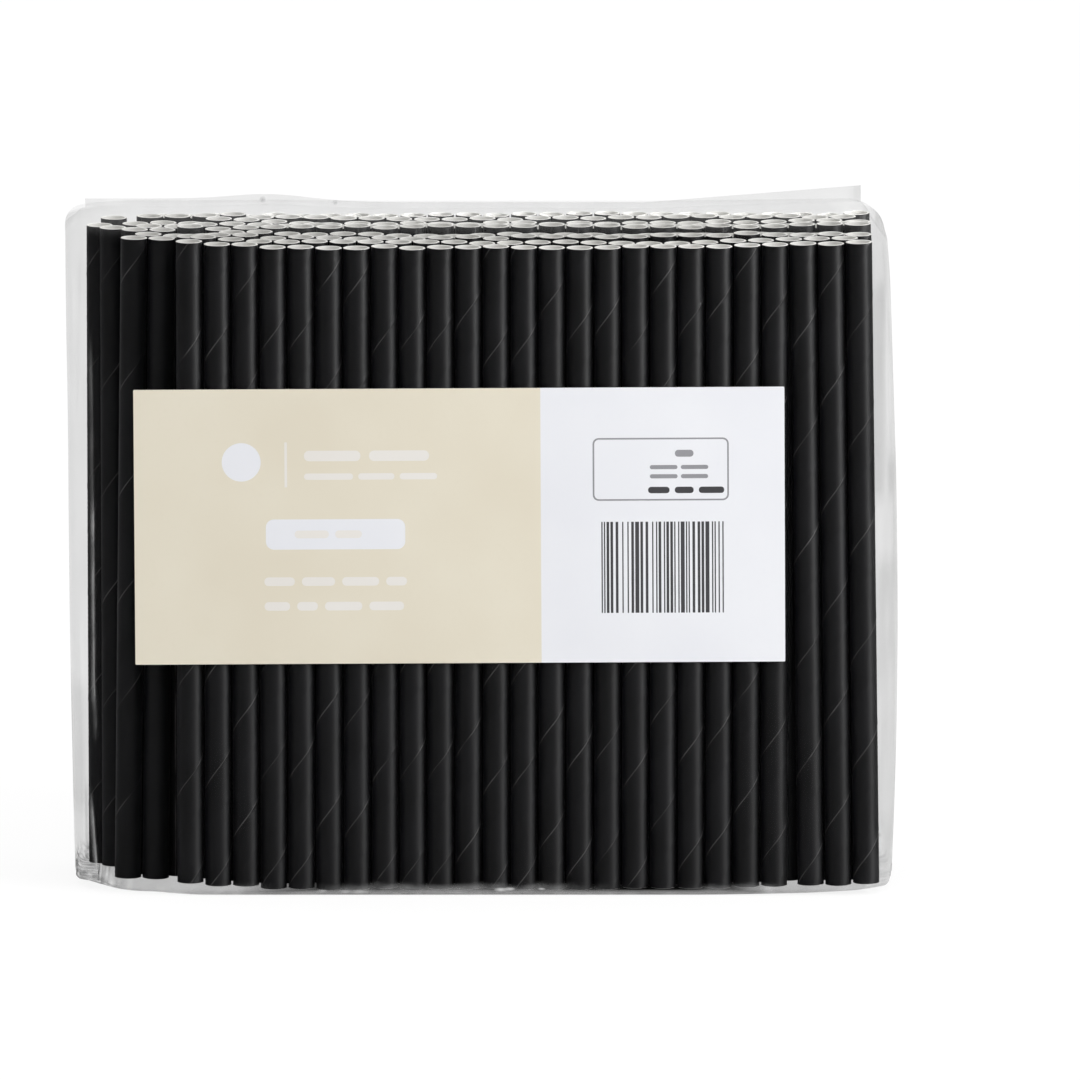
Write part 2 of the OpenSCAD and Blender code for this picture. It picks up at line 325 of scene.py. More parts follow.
def make_piece(name, vertices, faces, materials, slots=None, uvs=None, sharp=35):
    """A new mesh object from points in millimetres. slots has a material index for each face, and uvs a point
    for each corner."""
    mesh = bpy.data.meshes.new(name)
    mesh.from_pydata([tuple(float(c) * MM for c in v) for v in vertices], [], faces)
    for material in materials:
        mesh.materials.append(material)
    if slots is not None:
        mesh.polygons.foreach_set("material_index", slots)
    if uvs is not None:
        mesh.uv_layers.new(name="UVMap").data.foreach_set("uv", np.asarray(uvs, np.float32).ravel())
    mesh.shade_smooth()
    mesh.set_sharp_from_angle(angle=math.radians(sharp))
    mesh.validate()
    piece = bpy.data.objects.new(name, mesh)
    bpy.context.scene.collection.objects.link(piece)
    return piece


# Straws

def straw_axes(node):
    """The middle of the foot and of the top of each straw in a node, in millimetres, from left to right."""
    points = np.array([v.co for v in frame["nodes"][node].data.vertices]) / MM
    middle = (points[:, 2].min() + points[:, 2].max()) / 2
    ends = []
    for part in (points[points[:, 2] < middle], points[points[:, 2] >= middle]):
        part = part[np.argsort(part[:, 0])]
        found = []
        while len(part):
            mine = part[:, 0] <= part[0, 0] + 2 * STRAW_RADIUS + 0.1
            found.append((part[mine].min(0) + part[mine].max(0)) / 2)
            part = part[~mine]
        ends.append(found)
    return list(zip(*ends))


def seam_columns():
    """Angles round a straw in degrees from the strip's edge, close together at the edge and at the ridge."""
    wide = [a for a in range(24, 345, COLUMN_STEP) if abs(a - RIDGE_AT) > RIDGE_FREE]
    near_ridge = [RIDGE_AT - RIDGE_BESIDE, RIDGE_AT, RIDGE_AT + RIDGE_BESIDE]
    return sorted(EDGE_COLUMNS + wide + near_ridge)


def wall_offset(angle):
    """How far the wall stands out at an angle from the strip's edge, in millimetres."""
    lap = SEAM_LAP * max(0, 1 - (360 - angle) / SEAM_RUN)
    if angle == 0:
        lap = SEAM_LAP
    return lap + RIDGE_RISE * math.exp(-((angle - RIDGE_AT) / RIDGE_RUN) ** 2)


def straw_points(foot, top, columns, twist, heights, rng):
    """Rings of points up the outside, over the top rim, down the inside and round the foot, as one closed band."""
    foot, top = np.array(foot), np.array(top)
    axis = top - foot
    length = np.linalg.norm(axis)
    up = axis / length
    side = np.cross([0, 1, 0], up)
    side /= np.linalg.norm(side)
    front = np.cross(up, side)
    phase = rng.uniform(0, 360)
    oval_at = rng.uniform(0, math.pi)
    bow_at = rng.uniform(0, 2 * math.pi)
    bow = BOW * rng.uniform(LEAST_BOW, 1)
    crush = [rng.uniform(*CRUSH) for _ in range(2)]
    inner = STRAW_RADIUS - STRAW_WALL
    groove = STRAW_RADIUS - STRAW_WALL * PLY_AT
    angles = np.array(columns, float)
    offsets = np.array([wall_offset(a) if twist else 0 for a in columns])
    outside = [(h, None) for h in heights]
    over_top = [(length, STRAW_RADIUS - RIM_ROUND), (length - PLY_GROOVE, groove), (length, inner + INNER_ROUND)]
    inside = [(length - RIM_ROUND, inner), (RIM_ROUND, inner)]
    under_foot = [(0, inner + INNER_ROUND), (PLY_GROOVE, groove), (0, STRAW_RADIUS - RIM_ROUND)]
    rings = []
    for height, radius in outside + over_top + inside + under_foot:
        share = height / length
        turn = np.radians(angles + phase + twist * 360 * share)
        r = STRAW_RADIUS + offsets if radius is None else np.full(len(angles), radius)
        ends = crush[0] * math.exp(-height / CRUSH_RUN) + crush[1] * math.exp(-(length - height) / CRUSH_RUN)
        r = r + OVAL * (1 + ends) * 0.5 * np.cos(2 * (turn - oval_at))
        lean = bow * math.sin(math.pi * share)
        x = r * np.cos(turn) + lean * math.cos(bow_at)
        y = r * np.sin(turn) + lean * math.sin(bow_at)
        rings.append(foot + np.outer(x, side) + np.outer(y, front) + up * height)
    return rings


def straw_mesh(foot, top, fine, rng, vertices, faces, slots, uvs):
    """Adds one straw to the lists. A fine one has the strip's edge and the ridge in its wall, and a plain one
    only a few rings."""
    length = math.dist(foot, top)
    columns = seam_columns() if fine else list(range(0, 360, COLUMN_STEP))
    count = max(2, round((length - 2 * RIM_ROUND) / RING_STEP)) if fine else PLAIN_RINGS
    heights = [RIM_ROUND + (length - 2 * RIM_ROUND) * k / count for k in range(count + 1)]
    rings = straw_points(foot, top, columns, SEAM_TURNS if fine else 0, heights, rng)
    start, n, last = len(vertices), len(columns), len(rings)
    shift = rng.uniform(0, 50)
    turns = [a / 360 for a in columns] + [1.0]
    circumference = 2 * math.pi * STRAW_RADIUS
    for ring in rings:
        vertices.extend(ring)
    for k in range(last):
        lower, upper = start + k * n, start + (k + 1) % last * n
        outside = k < count
        v0, v1 = (shift + h / circumference for h in (heights[k], heights[k + 1])) if outside else (0, 0.01)
        for j in range(n):
            i = (j + 1) % n
            faces.append((lower + j, lower + i, upper + i, upper + j))
            slots.append(0 if outside else 1)
            uvs.extend([(turns[j], v0), (turns[j + 1], v0), (turns[j + 1], v1), (turns[j], v1)])


def build_straws(node, materials, fine_ones, seed):
    """One piece that stands for a node of straws. fine_ones gives the numbers of the straws that are made in
    full detail, from how many there are."""
    rng = random.Random(seed)
    vertices, faces, slots, uvs = [], [], [], []
    axes = straw_axes(node)
    for k, (foot, top) in enumerate(axes):
        straw_mesh(foot, top, k in fine_ones(len(axes)), rng, vertices, faces, slots, uvs)
    piece = make_piece(node + "_paper", vertices, faces, materials, slots, uvs)
    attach(piece, "root")
    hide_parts(node)
    return piece


def all_straws():
    """Every node of straws. In the middle rows only the two end straws can be seen, so the others are plain."""
    materials = [black_paper(), paper("white_paper", *(srgb(*t) for t in STRAW_WHITES))]
    for index, node in enumerate(sorted(n for n in frame["nodes"] if n.startswith("straw"))):
        in_row = node.startswith("straws_row")
        fine = (lambda n: {0, n - 1}) if in_row else (lambda n: {0})
        build_straws(node, materials, fine, index)


# Film

FILM_LOW, FILM_HIGH = (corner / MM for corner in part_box("film_bag"))
LEFT_X, RIGHT_X = FILM_LOW.x, FILM_HIGH.x
MIDDLE_X, HALF_W = (LEFT_X + RIGHT_X) / 2, (RIGHT_X - LEFT_X) / 2
WALL_Y = FILM_HIGH.y
RIDGE_Z = SHOULDER_Z + ROOF_RISE


def held(v):
    """A number held between 0 and 1."""
    return min(1, max(0, v))


def eased(v):
    """A number or an array from 0 to 1 with a soft start and end."""
    v = np.clip(v, 0, 1)
    return v * v * (3 - 2 * v)


def half_outline():
    """The front half of the film's outline from the middle of the left end to the middle of the right end.
    Each point has its place and its outward direction."""
    points = []

    def walk(start, end, normal, step, skip_last=True):
        n = max(2, round(math.dist(start, end) / step))
        for k in range(n if skip_last else n + 1):
            t = k / n
            points.append((start[0] + (end[0] - start[0]) * t, start[1] + (end[1] - start[1]) * t, *normal))

    def arc(cx, cy, radius, start, end):
        n = round(math.radians(abs(end - start)) * radius / ARC_STEP)
        for k in range(n):
            a = math.radians(start + (end - start) * k / n)
            points.append((cx + radius * math.cos(a), cy + radius * math.sin(a), math.cos(a), math.sin(a)))

    walk((LEFT_X, 0), (LEFT_X, -WALL_Y + LEFT_CORNER), (-1, 0), END_STEP)
    arc(LEFT_X + LEFT_CORNER, -WALL_Y + LEFT_CORNER, LEFT_CORNER, 180, 270)
    walk((LEFT_X + LEFT_CORNER, -WALL_Y), (RIGHT_X - RIGHT_CORNER, -WALL_Y), (0, -1), WALL_STEP)
    arc(RIGHT_X - RIGHT_CORNER, -WALL_Y + RIGHT_CORNER, RIGHT_CORNER, 270, 360)
    walk((RIGHT_X, -WALL_Y + RIGHT_CORNER), (RIGHT_X, 0), (1, 0), END_STEP, skip_last=False)
    points = np.array(points)
    # The ends are slightly round, so a line of sight along them crosses the film only twice.
    out = (points[:, 0] - MIDDLE_X) / HALF_W
    points[:, 0] -= END_BULGE * (points[:, 1] / WALL_Y) ** 2 * np.sign(out) * eased((np.abs(out) - 0.5) / 0.4)
    return points


def full_outline():
    """The whole outline: the front half, then the back half mirrored without its two shared points."""
    front = half_outline()
    back = front[-2:0:-1] * [1, -1, 1, -1]
    return np.vstack([front, back])


def seal_line(x):
    """How far the top of the seal stands above its lowest level."""
    crest = CREST_RISE * np.exp(-((x - CREST_X) / CREST_RUN) ** 2)
    shelf = SHELF_RISE / (1 + np.exp((x - CREST_X) / SHELF_RUN))
    ear = EAR_RISE * np.clip(x - (RIGHT_X - SEAL_INSET_RIGHT - EAR_RUN), 0, None) / EAR_RUN
    return crest + shelf + ear


def drawn_x(x, z):
    """Draws the two ends in by their tucks at the foot, at mid height and at the shoulder."""
    t = z / SHOULDER_Z
    left, right = (a * (1 - t) * (1 - 2 * t) + b * 4 * t * (1 - t) + c * t * (2 * t - 1)
                   for a, b, c in (LEFT_TUCK, RIGHT_TUCK))
    out = (x - MIDDLE_X) / HALF_W
    return x - out * np.where(out < 0, left, right)


def droop_at(x):
    """How far the shoulder droops near the right end."""
    return DROOP * np.clip((x - RIGHT_X + DROOP_RUN) / DROOP_RUN, 0, 1) ** 2


def film_ring(outline, inset, z, front=1.0):
    """One ring of the base or the wall. front is the share of the front corners' lift that it takes."""
    x, y = outline[:, 0] - outline[:, 2] * inset, outline[:, 1] - outline[:, 3] * inset
    lift = END_LIFT * np.clip(np.maximum(x - (RIGHT_X - END_RUN), LEFT_X + END_RUN - x) / END_RUN, 0, 1) ** 2
    for rise, run, away, corner in (
            (LEFT_FRONT_LIFT, LEFT_FRONT_RUN, x - LEFT_X, LEFT_CORNER),
            (RIGHT_FRONT_LIFT, RIGHT_FRONT_RUN, RIGHT_X - x, RIGHT_CORNER)):
        share = np.clip((-y - WALL_Y + corner) / corner, 0, 1)
        lift = lift + front * rise * eased((run - away) / run) * share
    drooped = droop_at(x) * held((z - SHOULDER_Z + DROOP_HEIGHT) / DROOP_HEIGHT)
    return np.stack([drawn_x(x, z), y, z + lift * max(0, 1 - z / LIFT_FADE) - drooped], 1)


def roof_ring(outline, angle):
    """One ring of the roof, from 0 degrees at the shoulder to 90 at the foot of the seal."""
    a = math.radians(angle)
    reach = 1 - math.cos(a)
    x0, y0 = outline[:, 0], outline[:, 1]
    low, high = drawn_x(LEFT_X, SHOULDER_Z), drawn_x(RIGHT_X, SHOULDER_Z)
    share = (drawn_x(x0, SHOULDER_Z) - low) / (high - low)
    start = low + (LEFT_X + SEAL_INSET_LEFT - low) * reach
    end = high + (RIGHT_X - SEAL_INSET_RIGHT - high) * reach
    x = start + (end - start) * share
    depth = SEAL_HALF + (WALL_Y - SEAL_HALF) * math.cos(a)
    size = np.maximum(np.abs(y0) * depth / WALL_Y, np.minimum(np.abs(y0), SEAL_HALF))
    z = SHOULDER_Z + ROOF_RISE * math.sin(a) + RIDGE_SHARE * seal_line(x) * reach - droop_at(x0) * math.cos(a)
    # The middle of each end is tucked in a little, which fades out at the shoulder and at the seal.
    pull = GUSSET * math.sin(2 * a) ** 2 * np.clip(1 - size / (depth * 0.7), 0, 1)
    x = x - outline[:, 2] * pull * (np.abs(outline[:, 2]) > 0.9)
    return np.stack([x, np.sign(y0) * size, z], 1)


def film_rings():
    """The outline, and the rings of the film from the middle of its base to the top of its seal."""
    outline = full_outline()
    rings = [film_ring(outline, BASE_INSET, 0, 0), film_ring(outline, (BASE_INSET + FOOT_ROUND) / 2, 0, 0.5)]
    for angle in FOOT_ANGLES:
        a = math.radians(angle)
        rings.append(film_ring(outline, FOOT_ROUND * (1 - math.cos(a)), FOOT_ROUND * (1 - math.sin(a))))
    heights = NEAR_FOOT + list(np.linspace(*WALL_HEIGHTS)) + list(np.linspace(*NEAR_TOP))
    rings += [film_ring(outline, 0, z) for z in heights]
    rings += [roof_ring(outline, angle) for angle in ROOF_ANGLES]
    foot_of_seal = roof_ring(outline, 90)
    rings.append(foot_of_seal)
    seal_top = RIDGE_Z + SEAL_H + seal_line(foot_of_seal[:, 0])
    for share in np.linspace(0, 1, SEAL_RINGS + 1)[1:]:
        ring = foot_of_seal.copy()
        ring[:, 2] += (seal_top - foot_of_seal[:, 2]) * share
        rings.append(ring)
    return outline, rings


# Long creases in the film: where each starts and ends (x and z on the front face), its depth, its width
# and how much it whitens the film, which is partly the crease's own whitening and partly a painted highlight.
CREASES = [
    (-84.6, 122, -84.2, 76, 0.3, 0.35, 0.16),
    (-84.2, 88, -84.0, 40, 0.35, 0.3, 0.42),
    (-84.1, 46, -83.5, 34, 0.35, 0.35, 0.16),
    (-84.8, 22, -83.4, 2.5, 0.45, 0.3, 0.5),
    (-86.9, 24, -87.6, 4, 0.4, 0.6, 0.06),
    (87.4, 136, 88.5, 96, 0.25, 0.5, 0.05),
    (88.6, 60, 87.6, 8, 0.25, 0.5, 0.05),
    (-87.2, 5.5, -83.4, 1.6, 0.3, 0.3, 0.5),
    (-85.6, 4.6, -81.4, 3.4, 0.3, 0.3, 0.4),
]
# The creases are at the left end and where the outline turns at least this far. Elsewhere there are none.
CREASED_X, CREASED_TURN = -79, 0.25
# Upright patches that change the film's tone: x, half width, lowest and highest z, and how much they dim it,
# with soft ends of PATCH_FADE. The one whose amount is below zero lightens the film, a painted highlight.
PATCHES = [
    (-88.3, 3.0, 14, 48, 0.12),
    (-85.6, 0.4, 4, 26, 0.2),
    (85.4, 1.5, 84, 136, 0.17),
    (88.0, 0.7, 100, 132, -0.05),
    (89.0, 1.4, 84, 98, 0.14),
    (87.8, 2.6, 6, 76, 0.1),
]
PATCH_FADE = 6
# Dusty flecks in the film: x, y, z, radius and how much they dim it.
FLECKS = [(-47.4, -0.1, 148.3, 0.8, 0.2), (-31.7, -0.1, 147.7, 0.7, 0.16), (-86.4, -8, 143.6, 1.2, 0.12)]
# Small flat glints along the foot of the front: x, y, z, radius and how much they whiten the film. They are
# GLINT_FLAT times as wide as high.
GLINTS = [(4.0, -24, 1.3, 1.7, 0.7), (6.0, -24, 1.5, 1.3, 0.6), (-26.4, -24, 0.7, 2.2, 0.5),
          (-29.6, -24, 0.8, 1.8, 0.4), (12.8, -24, 1.5, 1.0, 0.5), (-34.5, -24, 1.0, 1.4, 0.4)]
GLINT_FLAT = 3
# Where the fold along the foot whitens the film in front of the feet: x, half width and how much. The haze's
# upper edge is at HAZE_TOP, give or take HAZE_TOP_WAVE, and is HAZE_TOP_SOFT soft.
FOOT_HAZE = [(-5, 26, 0.24), (56, 9, 0.2), (-52, 5, 0.1)]
HAZE_TOP, HAZE_TOP_WAVE, HAZE_TOP_SOFT = 3, 1.2, 1.8
# The fold dims the film too, and this is also painted shade for the dark floor under the feet: how much, up to
# which height and how soft, between which x in full, and by which share of that beyond them.
FOLD_DIM_AND_SHADE = 0.28
FOLD_TOP, FOLD_SOFT = 1.5, 0.8
FOLD_LEFT, FOLD_RIGHT, FOLD_BEYOND = -52, 60, 0.45
# The share of light that each part of the film passes. The back of such a bag is doubled along its lap seam.
CLEAR_FRONT, CLEAR_BACK = 0.935, 0.795
CLEAR_FRONT_ROOF, CLEAR_BACK_ROOF, CLEAR_SEAL = 0.8, 1, 0.915
CLEAR_BASE = 0.85
# Where it changes: between front and back this far on both sides of the middle, at the shoulder of the front and
# of the back (start above the shoulder, and run), at the back's round corners, and at the base.
SIDE_RUN = 12
FRONT_TOP, BACK_TOP = (-0.6, 1.5), (-12, 4)
BACK_CORNER_RUN, BASE_RUN = 0.8, 0.3
# How soon the outline's turn counts as an end: for the film's looseness, its creases and its clearness.
END_GAIN, CREASE_GAIN, CLEAR_GAIN = 1.3, 1.5, 1.2
# How loose the film is at its ends. Ripples: depth, pitch along the outline, sway and the sway's run in height.
RIPPLE_DEPTH, RIPPLE_PITCH, RIPPLE_SWAY, RIPPLE_SWAY_RUN = 0.1, 14, 1.4, 21
# Soft dents: their depth. Both fade out towards the foot and the seal over these heights.
DENT_DEPTH = 0.5
LOW_FADE, HIGH_FADE = 6, 5
# Crumples at the foot: their height, their depth and how much they whiten the film, a painted highlight on their
# facets, as a share that all corners have and a share that the left end has besides. The left end is the film from
# LEFT_FROM on, over LEFT_RUN.
CRUMPLE_TOP = 4.2
CRUMPLE_DEPTH, CRUMPLE_HIGHLIGHT = (0.4, 0.4), (0.1, 0.3)
LEFT_FROM, LEFT_RUN = -76, 5
# By how much the film is dimmed: by dust at the ends and at the right end, darker towards the foot up to a
# height, and at the left end's crumples, with painted shade on their facets.
DUST_ENDS, DUST_RIGHT, DUST_RIGHT_FROM = 0.03, 0.07, 80
FOOT_DARKENING, FOOT_DARKENING_TOP = 0.2, 2.2
CRUMPLE_DIM_LEFT, FACET_SHADE = 0.22, 0.6
# A clear place among those crumples: x and z, its half sizes and how much less it is dimmed.
CLEAR_PLACE, CLEAR_PLACE_SIZE, CLEAR_PLACE_SHARE = (-80.1, 3.2), (0.9, 1.8), 0.6
# The most that the mesh says for whitening with its painted highlights, and the least and most for dimming,
# which holds painted shade too.
HAZE_AND_HIGHLIGHT_MOST = 0.85
DIM_LEAST, DIM_MOST = -0.25, 0.6
# Smooth noises: how wide their lumps are along x, y and z, and a shift in lumps.
SOFT_DENTS = (30, 30, 40), (0, 0, 0)
CREASE_BREAKS = (2, 2, 6), (0, 0, 0)
CRUMPLES, FINE_CRUMPLES = ((2.4, 2.4, 2), (7, 0, 0)), ((1 / 0.9, 1, 1 / 1.1), (0, 0, 0))
DUST, STREAKS = ((10, 10, 16), (0, 0, 5)), ((2.5, 2.5, 12), (0, 0, 0))
FOOT_DARKENING_LUMPS = (1.6, 1.6, 1), (0, 0, 3)
FACETS = (1.1, 1.1, 0.9), (0, 0, 2)
HAZE_PATCHES, HAZE_EDGE = ((3, 1, 2), (0, 0, 0)), ((5, 1, 1), (0, 4, 0))


def lumps(kind, x, y, z):
    """One of the smooth noises at a point, from about -1 to 1."""
    size, shift = kind
    return noise.noise(Vector((x / size[0] + shift[0], y / size[1] + shift[1], z / size[2] + shift[2])))


def crease_at(x, y, z):
    """How far the creases push the film in at a point, and how much they whiten it, in part a painted highlight.
    The back has the same ones, turned end for end."""
    if y > 0:
        x = LEFT_X + RIGHT_X - x
    depth = haze = 0
    for x0, z0, x1, z1, deep, width, white in CREASES:
        dx, dz = x1 - x0, z1 - z0
        t = max(0.0, min(1.0, ((x - x0) * dx + (z - z0) * dz) / (dx * dx + dz * dz)))
        away = math.hypot(x - x0 - t * dx, z - z0 - t * dz)
        fade = min(1, 6 * t, 6 * (1 - t)) * math.exp(-(away / width) ** 2)
        depth += deep * fade
        haze += white * fade
    return depth, haze


def patch_at(x, z):
    """How much the upright patches dim the film at a point of its front. A negative amount lightens it, a painted
    highlight.
    """
    total = 0
    for at, half, low, high, amount in PATCHES:
        across = math.exp(-((x - at) / half) ** 4)
        total += amount * across * eased((z - low) / PATCH_FADE) * eased((high - z) / PATCH_FADE)
    return total


def foot_haze_at(x, z):
    """How much the fold along the foot whitens the film in front of the feet."""
    along = sum(amount * math.exp(-((x - at) / half) ** 4) for at, half, amount in FOOT_HAZE)
    patchy = 0.75 + 0.8 * lumps(HAZE_PATCHES, x, 0, z)
    top = HAZE_TOP + HAZE_TOP_WAVE * lumps(HAZE_EDGE, x, 0, 0)
    return along * patchy * eased((top - z) / HAZE_TOP_SOFT)


def clear_at(y, z, corner):
    """The share of light that the film passes at a point. corner is 0 on its flat sides and 1 at its ends."""
    above = z - SHOULDER_Z
    side = CLEAR_FRONT + (CLEAR_BACK - CLEAR_FRONT) * held((y + SIDE_RUN) / (2 * SIDE_RUN))
    start, run = FRONT_TOP if y < 0 else BACK_TOP
    top = ((CLEAR_FRONT_ROOF if y < 0 else CLEAR_BACK_ROOF) - side) * eased((above - start) / run)
    if y >= 0:
        corner *= 1 - eased(above / BACK_CORNER_RUN)
    clear = side + top * (1 - corner)
    return clear + (CLEAR_BASE - clear) * eased((BASE_RUN - z) / BASE_RUN)


def dust_and_shade_at(x, y, z, end, crumpled):
    """How much the film is darkened at a point: by dust, towards the foot, by painted shade on the crumples'
    facets, and by the fold along the foot, which is partly painted shade. end is 1 at its ends, and crumpled 1
    where it is crumpled most."""
    cloud = lumps(DUST, x, y, z) + 0.6 * lumps(STREAKS, x, y, z)
    dim = (DUST_RIGHT if x > DUST_RIGHT_FROM else DUST_ENDS) * cloud * end
    # Darker towards the foot.
    dim += FOOT_DARKENING * math.exp(-(z / FOOT_DARKENING_TOP) ** 2) * (0.5 + 0.5 * lumps(FOOT_DARKENING_LUMPS, x, y, z))
    (at_x, at_z), (half_x, half_z) = CLEAR_PLACE, CLEAR_PLACE_SIZE
    place = math.exp(-((x - at_x) / half_x) ** 2 - ((z - at_z) / half_z) ** 2)
    # The crumples are dimmed, with painted shade on their facets, and less at a clear place among them.
    dim += crumpled * (CRUMPLE_DIM_LEFT + FACET_SHADE * lumps(FACETS, x, y, z) - CLEAR_PLACE_SHARE * place)
    # The fold's darkening, which is partly painted shade for the dark floor under the feet.
    share = 1 if FOLD_LEFT < x < FOLD_RIGHT else FOLD_BEYOND
    return dim + FOLD_DIM_AND_SHADE * eased((FOLD_TOP - z) / FOLD_SOFT) * (0.9 + 0.4 * cloud) * share


def film_at(x, y, z, turn, s):
    """How far the film is pushed in at a point, how much it is whitened there, in part by painted highlights, and
    how much it is dimmed, in part by painted shade.
    turn is 0 on the outline's flat sides and 1 at its ends, and s is the way along the outline."""
    end = min(1, turn * END_GAIN)
    fade = held(z / LOW_FADE) * held((RIDGE_Z + 1 - z) / HIGH_FADE)
    sway = RIPPLE_SWAY * math.sin(z / RIPPLE_SWAY_RUN)
    ripple = 0.5 + 0.5 * math.sin(2 * math.pi * s / RIPPLE_PITCH + sway)
    soft = 0.5 + 0.5 * lumps(SOFT_DENTS, x, y, z)
    push = end * fade * (RIPPLE_DEPTH * ripple + DENT_DEPTH * soft)
    depth, haze = crease_at(x, y, z) if x < CREASED_X or end > CREASED_TURN else (0, 0)
    push += fade * depth * min(1, end * CREASE_GAIN)
    haze *= 0.8 + 0.6 * lumps(CREASE_BREAKS, x, y, z)
    # The loose corners at the foot are crumpled, the one at the left most of all.
    left = held((LEFT_FROM - x) / LEFT_RUN)
    foot = math.exp(-(z / CRUMPLE_TOP) ** 4) * max(end, left)
    crumple = lumps(CRUMPLES, x, y, z) + 0.5 * lumps(FINE_CRUMPLES, x, y, z)
    push += foot * (CRUMPLE_DEPTH[0] + CRUMPLE_DEPTH[1] * left) * (0.6 + 0.6 * crumple) * held(z)
    # The crumples' whitening is a painted highlight on their facets.
    haze += foot * (CRUMPLE_HIGHLIGHT[0] + CRUMPLE_HIGHLIGHT[1] * left) * max(0, crumple)
    dim = dust_and_shade_at(x, y, z, end, foot * left)
    if y < 0:
        dim += patch_at(x, z)
        haze += foot_haze_at(x, z)
    return push, min(HAZE_AND_HIGHLIGHT_MOST, max(0, haze)), min(DIM_MOST, max(DIM_LEAST, dim))


def film_dents(outline, rings):
    """Pushes the rings in by the ripples, creases and crumples of a loose film.
    Gives the whitening with its painted highlights, the dimming with its painted shade, and the clearness of each
    point too."""
    along = np.concatenate([[0], np.cumsum(np.hypot(*np.diff(outline[:, :2], axis=0).T))])
    hazes_and_highlights, dims, clears = [], [], []
    for k, ring in enumerate(rings):
        in_seal = k >= len(rings) - SEAL_RINGS
        for j, (nx, ny) in enumerate(outline[:, 2:]):
            x, y, z = ring[j]
            push, haze, dim = film_at(x, y, z, abs(nx), along[j])
            ring[j] = (x - nx * push, y - ny * push, z)
            hazes_and_highlights.append(haze)
            dims.append(dim)
            clears.append(CLEAR_SEAL if in_seal else clear_at(y, z, min(1, abs(nx) * CLEAR_GAIN)))
    return rings, {"haze": hazes_and_highlights, "dim": dims, "clear": clears}


def vertex_normals(points, faces):
    """Area-weighted normals of a mesh of quads and triangles."""
    normals = np.zeros_like(points)
    for size in (3, 4):
        some = np.array([f for f in faces if len(f) == size])
        if not len(some):
            continue
        a, b, c = points[some[:, 0]], points[some[:, 1]], points[some[:, 2]]
        n = np.cross(b - a, c - a) if size == 3 else np.cross(c - a, points[some[:, 3]] - b)
        for k in range(size):
            np.add.at(normals, some[:, k], n)
    return normals / np.maximum(np.linalg.norm(normals, axis=1)[:, None], 1e-12)


def build_film():
    """The film: its outer face in rings with a base and a lid over the seal, and its inner face behind it."""
    outline, rings = film_rings()
    rings, looks = film_dents(outline, rings)
    n, last = len(outline), len(rings) - 1
    half = n // 2
    faces = []
    for k in range(last):
        for j in range(n):
            i = (j + 1) % n
            faces.append((k * n + j, k * n + i, (k + 1) * n + i, (k + 1) * n + j))
    top = last * n
    for j in range(half):
        a, b, c, d = j, j + 1, (n - j - 1) % n, (n - j) % n
        for face in ((a, d, c, b), (top + a, top + b, top + c, top + d)):
            corners = list(dict.fromkeys(face))
            if len(corners) > 2:
                faces.append(tuple(corners))
    points = np.vstack(rings)
    inner = points - vertex_normals(points, faces) * FILM_T
    count = len(points)
    inside = [tuple(count + v for v in reversed(f)) for f in faces]
    slots = [0] * len(faces) + [1] * len(faces)
    materials = [film_outside(), film_inside()]
    vertices = np.vstack([points, inner])
    piece = make_piece("film_bag_clear", vertices, faces + inside, materials, slots, sharp=60)
    for name, values in looks.items():
        piece.data.attributes.new(name, "FLOAT", "POINT").data.foreach_set("value", values * 2)
    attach(piece, "root")
    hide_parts("film_bag")
    return piece


# Label

def rounded_box(x0, z0, x1, z1, radius, steps=5):
    """A closed outline, from its lower left, with rounded corners."""
    if radius <= 0:
        return [(x0, z0), (x1, z0), (x1, z1), (x0, z1)]
    points = []
    for cx, cz, start in ((x1 - radius, z0 + radius, -90), (x1 - radius, z1 - radius, 0),
                          (x0 + radius, z1 - radius, 90), (x0 + radius, z0 + radius, 180)):
        for k in range(steps + 1):
            a = math.radians(start + 90 * k / steps)
            points.append((cx + radius * math.cos(a), cz + radius * math.sin(a)))
    return points


def disc(x, z, radius, steps=40):
    return [(x + radius * math.cos(2 * math.pi * k / steps), z + radius * math.sin(2 * math.pi * k / steps))
            for k in range(steps)]


def inside_outline(x, z, points):
    """True if a point lies inside a closed outline."""
    hit = False
    for (x0, z0), (x1, z1) in zip(points, points[1:] + points[:1]):
        if (z0 > z) != (z1 > z) and x < x0 + (z - z0) * (x1 - x0) / (z1 - z0):
            hit = not hit
    return hit


def word_bars(x0, x1, z, height, rng, shortest, longest):
    """A row of plain rounded bars, where a line of print would be."""
    bars = []
    x = x0
    while x < x1 - shortest:
        end = min(x1, x + rng.uniform(shortest, longest))
        bars.append(rounded_box(x, z - height / 2, end, z + height / 2, height * 0.45, 3))
        x = end + height * 0.8
    return bars


def stripe_bars(x0, x1, z0, z1, module, rng):
    """Upright bars of one to three modules, with gaps of one to three."""
    bars = []
    x = x0
    while x < x1 - module:
        end = min(x1, x + module * rng.choice([1, 1, 1, 2, 2, 3]))
        bars.append([(x, z0), (end, z0), (end, z1), (x, z1)])
        x = end + module * rng.choice([1, 1, 2, 2, 3])
    return bars


SPLIT_X = 87.5
